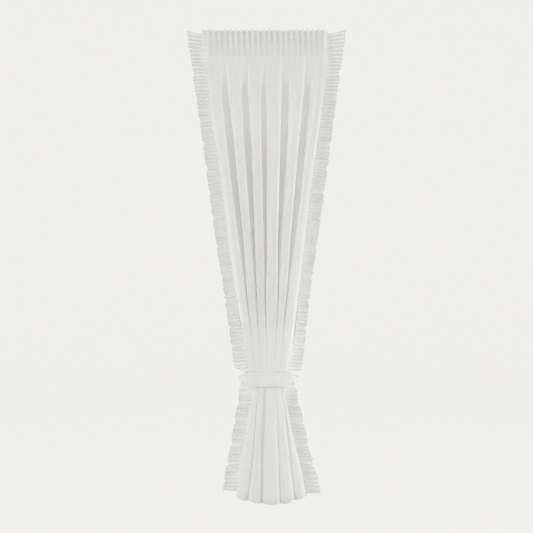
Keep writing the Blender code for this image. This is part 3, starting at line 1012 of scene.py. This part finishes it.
class MakePanel(Operator):
    """Makes the gathered sheer panel with its six main folds"""

    bl_idname = "curtain.make_panel"
    bl_label = "Sheer panel"

    def execute(self, context):
        scene = context.scene
        finish = scene.curtain_finish
        points, cloth = panel_points(scene.curtain_shape)
        z = panel_heights()
        material = found_material("sheer_voile", sheer_material, finish, 1.0, finish.cover, 0.5, 0.25)
        panel = grid_object("sheer_panel", points, material, cloth, z)
        # The gathered cloth near the band darkens in steps towards a painted shade tone
        self.add_steps(panel, finish, "shaded_gathered_voile", CLOSING_STEPS, CLOSED_SHADE_TONE)
        # The side hems and fold edges step towards a painted highlight tone
        self.add_steps(panel, finish, "side_hem_highlight", SIDE_HEM_STEPS, SIDE_HEM_HIGHLIGHT_TONE)
        across = points.shape[1] - 1
        # How far each row is closed: more opaque, less light through, and darker in painted shade
        closed = ease(CLOSING_FROM, CLOSING_TO, (z[:-1] + z[1:]) / 2)
        slots = np.tile(np.rint(closed * CLOSING_STEPS).astype(np.int32)[:, None], (1, across))

        # The painted highlights along the folds' edges and then the side hems, double cloth in a painted
        # highlight tone, take the place of the single cloth
        inward = np.clip((RETURN_COLUMNS + SIDE_HEM_COLUMNS - np.arange(across)) / SIDE_HEM_RIM, 0.0, 1.0)
        steps = np.rint(inward * SIDE_HEM_STEPS).astype(np.int32)
        # Painted highlights along the fold edges, below the heading and fading where the folds close
        folded = ease(FOLD_HIGHLIGHT_TOP, FOLD_HIGHLIGHT_TOP - 0.04, z[:-1]) * (1.0 - closed)
        folded = np.rint(folded[:, None] * fold_edge_highlights(fold_knots(z)[0])[None, :] * SIDE_HEM_STEPS)
        slots = np.where(folded > 0, CLOSING_STEPS + folded.astype(np.int32), slots)
        for side_steps, lowest in zip((steps, steps[::-1]), SIDE_HEM_ENDS):
            rows = (z[:-1] > lowest)[:, None] & (side_steps > 0)[None, :]
            slots = np.where(rows, CLOSING_STEPS + side_steps[None, :], slots)
        panel.data.polygons.foreach_set("material_index", slots.ravel())
        finish_piece(panel)
        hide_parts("panel")
        return {"FINISHED"}

    def add_steps(self, panel, finish, name, count, tone):
        """Cloth that changes from single and see-through to closed layers in even steps, its colour moving to
        the given tone: painted shade for the gathered cloth, a painted highlight for the side hems and fold
        edges.
        """
        for step in range(1, count + 1):
            share = step / count
            cover, darker = mix(finish.cover, 1.0, share), mix(1.0, np.array(tone), share)
            values = (finish, darker, cover, 0.5, 0.25, 1.0 - share)
            panel.data.materials.append(found_material(f"{name}_{step}", sheer_material, *values))


class MakeHems(Operator):
    """Adds the turned hem at the bottom and the turning behind the heading"""

    bl_idname = "curtain.make_hems"
    bl_label = "Turned hems"

    def execute(self, context):
        scene = context.scene
        finish = scene.curtain_finish
        points, cloth = panel_points(scene.curtain_shape)
        material = found_material("hem_voile", sheer_material, finish, 0.985, 0.45, 0.5, 0.25)
        normals = grid_normals(points)
        z = panel_heights()
        for name, rows, back in (
            ("bottom_hem", np.linspace(HEM + 0.0215, HEM + 0.0004, 4), -0.0008),
            ("heading_turning", np.linspace(-0.0010, -0.1210, 24), -0.0009),
        ):
            layer = []
            for level in rows:
                i = int(np.clip(np.searchsorted(-z, -level, side="right") - 1, 0, len(z) - 2))
                t = (z[i] - level) / (z[i] - z[i + 1])
                place, side = mix(points[i], points[i + 1], t), mix(normals[i], normals[i + 1], t)
                layer.append(place + side * back)
            hem = grid_object(name, np.stack(layer), material, cloth, rows)
            finish_piece(hem)
        return {"FINISHED"}


class MakeRuffles(Operator):
    """Makes the two crimped ruffles with their rolled edges"""

    bl_idname = "curtain.make_ruffles"
    bl_label = "Side ruffles"

    def execute(self, context):
        scene = context.scene
        finish = scene.curtain_finish
        panel, _ = panel_points(scene.curtain_shape)
        values = (finish, 0.97, finish.cover - 0.12, 0.6, 0.3, 0.35)
        material = found_material("crimped_voile", sheer_material, *values)
        for side, word in ((-1, "left"), (1, "right")):
            points, length = ruffle_points(panel, side, scene.curtain_ruffles)
            across = np.linspace(0.0, RUFFLE_FLAT[0], points.shape[1])
            if side > 0:
                points = points[:, ::-1]
            ruffle = grid_object("crimped_ruffle_" + word, points, material, across, -length)
            finish_piece(ruffle)
            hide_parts("ruffle_" + word)
            if side > 0:
                points = points[:, ::-1]
            tube = free_edge_tube(points, 0.00055)
            edge = grid_object("rolled_edge_" + word, tube, material, np.linspace(0, 0.004, 5), -length, True)
            finish_piece(edge)
        return {"FINISHED"}


class MakeTieBand(Operator):
    """Makes the double cloth band that draws the curtain in"""

    bl_idname = "curtain.make_tie_band"
    bl_label = "Tie band"

    def execute(self, context):
        finish = context.scene.curtain_finish
        material = found_material("band_voile", sheer_material, finish, BAND_TONE, 1.0, 0.5, 0.3, 0.0)
        points = band_points()
        around = np.linspace(0.0, BAND_FLAT[0], points.shape[1], endpoint=False)
        down = np.linspace(0, -BAND_FLAT[1], len(points))
        band = grid_object("cloth_tie_band", points, material, around, down, True)
        finish_piece(band)
        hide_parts("tie_band")
        return {"FINISHED"}


class MakeStitching(Operator):
    """Adds the rows of stitching in the heading, along the hem and beside the ruffles"""

    bl_idname = "curtain.make_stitching"
    bl_label = "Stitching"

    def execute(self, context):
        scene = context.scene
        finish = scene.curtain_finish
        points, _ = panel_points(scene.curtain_shape)
        outward = points + grid_normals(points) * 0.0004
        paths = [at_level(outward, level)[RETURN_COLUMNS:-RETURN_COLUMNS] for level in STITCHED_ROWS]
        paths.append(at_level(outward, HEM + 0.020)[RETURN_COLUMNS:-RETURN_COLUMNS])
        paths += [outward[3:, RETURN_COLUMNS + 2], outward[3:, -3 - RETURN_COLUMNS]]
        threads, faces = stitches(paths, finish.stitch_length * 1.45, finish.stitch_length, 0.00022)
        mesh = bpy.data.meshes.new("stitching")
        mesh.from_pydata(threads, [], faces)
        mesh.shade_smooth()
        mesh.materials.append(bpy.data.materials.get("sewing_thread") or thread_material(finish))
        stitching = link(bpy.data.objects.new("stitching", mesh))
        finish_piece(stitching)
        panel = bpy.data.objects.get("sheer_panel")
        if panel is None:
            raise RuntimeError("The sheer panel is made before its stitching")
        return {"FINISHED"}


class CURTAIN_PT_parts(Panel):
    bl_label = "Curtain"
    bl_idname = "CURTAIN_PT_parts"
    bl_space_type = "VIEW_3D"
    bl_region_type = "UI"
    bl_category = "Curtain"

    def draw(self, context):
        layout = self.layout
        scene = context.scene
        groups = (
            ("Stage", scene.curtain_stage, ("curtain.make_stage",)),
            ("Panel", scene.curtain_shape, ("curtain.make_panel", "curtain.make_hems")),
            ("Ruffles", scene.curtain_ruffles, ("curtain.make_ruffles",)),
            ("Finish", scene.curtain_finish, ("curtain.make_tie_band", "curtain.make_stitching")),
        )
        for title, settings, operators in groups:
            box = layout.box()
            box.label(text=title)
            for name in type(settings).__annotations__:
                box.prop(settings, name)
            for operator in operators:
                box.operator(operator)


CLASSES = (
    CurtainShape,
    RuffleShape,
    CurtainFinish,
    StageSettings,
    MakeStage,
    MakePanel,
    MakeHems,
    MakeRuffles,
    MakeTieBand,
    MakeStitching,
    CURTAIN_PT_parts,
)
SETTINGS = (
    ("curtain_shape", CurtainShape),
    ("curtain_ruffles", RuffleShape),
    ("curtain_finish", CurtainFinish),
    ("curtain_stage", StageSettings),
)


def register():
    for cls in CLASSES:
        bpy.utils.register_class(cls)
    for name, group in SETTINGS:
        setattr(bpy.types.Scene, name, PointerProperty(type=group))


def unregister():
    for name, _ in reversed(SETTINGS):
        delattr(bpy.types.Scene, name)
    for cls in reversed(CLASSES):
        bpy.utils.unregister_class(cls)


def main():
    register()
    bpy.ops.curtain.make_stage()
    bpy.ops.curtain.make_panel()
    bpy.ops.curtain.make_hems()
    bpy.ops.curtain.make_ruffles()
    bpy.ops.curtain.make_tie_band()
    bpy.ops.curtain.make_stitching()


if __name__ == "__main__":
    main()
